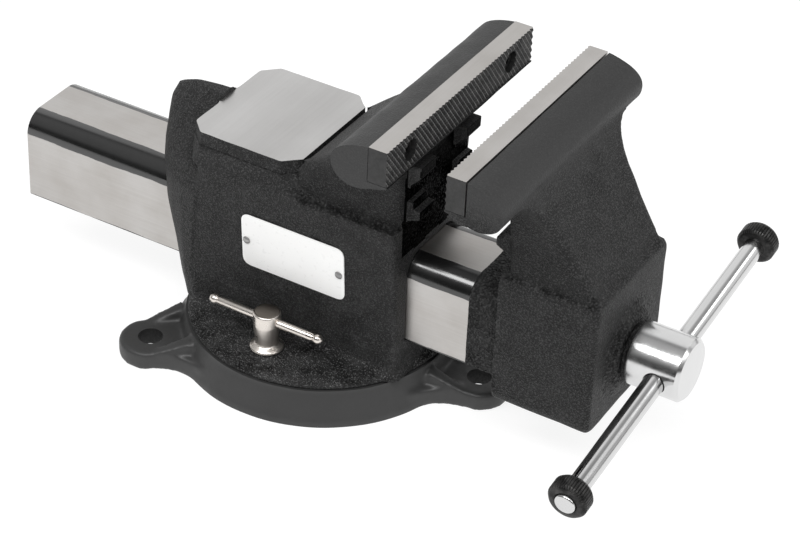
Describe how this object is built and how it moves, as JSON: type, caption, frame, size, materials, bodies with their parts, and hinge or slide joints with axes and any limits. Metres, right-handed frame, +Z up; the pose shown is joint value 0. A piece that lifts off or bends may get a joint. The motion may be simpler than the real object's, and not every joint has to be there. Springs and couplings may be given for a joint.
{
  "type": "machine vise",
  "caption": "Parallel bench vise with serrated jaw inserts, pipe jaws, anvil, ground steel slide, screw spindle with sliding bar handle and lockable swivel base.",
  "frame": {"origin": "on the swivel axis, in the flat underside of the swivel base that rests on the bench", "axes": "+X along the slide towards the spindle handle, +Y across the jaws to the far side, +Z up; units are metres"},
  "size_m": [0.4078, 0.228, 0.1925],
  "materials": {
    "cast_paint": "fine-textured black paint on the casting, with ground bright anvil top",
    "base_paint": "smooth satin black paint on the casting",
    "slide_and_jaw": "fine-textured black paint, with the slide's top and sides ground bright",
    "hardened_steel": "ground on top, serrated on the gripping face",
    "chrome": "polished",
    "nickel": "bright nickel plate, slightly warm",
    "black_steel": "black oxide, knurled on the handle caps",
    "plain_steel": "turned",
    "nut_iron": "machined",
    "label_white": "white enamelled sheet, blank"
  },
  "bodies": {
    "base": {"swivel_base": "base_paint"},
    "fixed_jaw": {"fixed_jaw_body": "cast_paint", "fixed_jaw_insert": "hardened_steel", "fixed_insert_screw_near": "black_steel", "fixed_insert_screw_far": "black_steel", "spindle_nut": "nut_iron", "spindle_nut_bolt_rear": "black_steel", "spindle_nut_bolt_front": "black_steel", "nameplate": "label_white", "nameplate_rivet_rear": "plain_steel", "nameplate_rivet_front": "plain_steel", "clamp_nut_near": "plain_steel", "clamp_nut_far": "plain_steel"},
    "movable_jaw": {"movable_jaw_body": "slide_and_jaw", "movable_jaw_insert": "hardened_steel", "movable_insert_screw_near": "black_steel", "movable_insert_screw_far": "black_steel", "thrust_washer": "plain_steel"},
    "spindle": {"spindle": "chrome", "spindle_collar": "plain_steel", "spindle_collar_pin": "plain_steel"},
    "handle": {"handle_bar": "chrome", "handle_cap_near": "black_steel", "handle_cap_far": "black_steel"},
    "lock_near": {"lock_screw_near": "nickel"},
    "lock_bar_near": {"lock_bar_near": "nickel"},
    "lock_far": {"lock_screw_far": "nickel"},
    "lock_bar_far": {"lock_bar_far": "nickel"}
  },
  "joints": [
    {"name": "swivel", "type": "hinge", "parent": "base", "child": "fixed_jaw", "pos_m": [0, 0, 0.0203], "axis": [0, 0, 1], "continuous": true},
    {"name": "jaw_slide", "type": "slide", "parent": "fixed_jaw", "child": "movable_jaw", "axis": [1, 0, 0], "range_m": [-0.0327, 0.117]},
    {"name": "spindle_turn", "type": "hinge", "parent": "movable_jaw", "child": "spindle", "pos_m": [0, 0, 0.0711], "axis": [1, 0, 0], "range_deg": [-1961, 7019]},
    {"name": "handle_slide", "type": "slide", "parent": "spindle", "child": "handle", "axis": [0, 0.9905, 0.1374], "range_m": [-0.083, 0.083]},
    {"name": "lock_turn_near", "type": "hinge", "parent": "fixed_jaw", "child": "lock_near", "pos_m": [-0.0022, -0.054, 0.0446], "axis": [0, 0, 1], "range_deg": [-12, 12]},
    {"name": "lock_bar_slide_near", "type": "slide", "parent": "lock_near", "child": "lock_bar_near", "axis": [1, 0, 0], "range_m": [-0.021, 0.0226]},
    {"name": "lock_turn_far", "type": "hinge", "parent": "fixed_jaw", "child": "lock_far", "pos_m": [-0.0022, 0.054, 0.0446], "axis": [0, 0, 1], "range_deg": [-12, 12]},
    {"name": "lock_bar_slide_far", "type": "slide", "parent": "lock_far", "child": "lock_bar_far", "axis": [1, 0, 0], "range_m": [-0.021, 0.0226]}
  ],
  "couplings": [
    {"joint": "jaw_slide", "follows": "spindle_turn", "m_per_rad": 0.00095493}
  ]
}
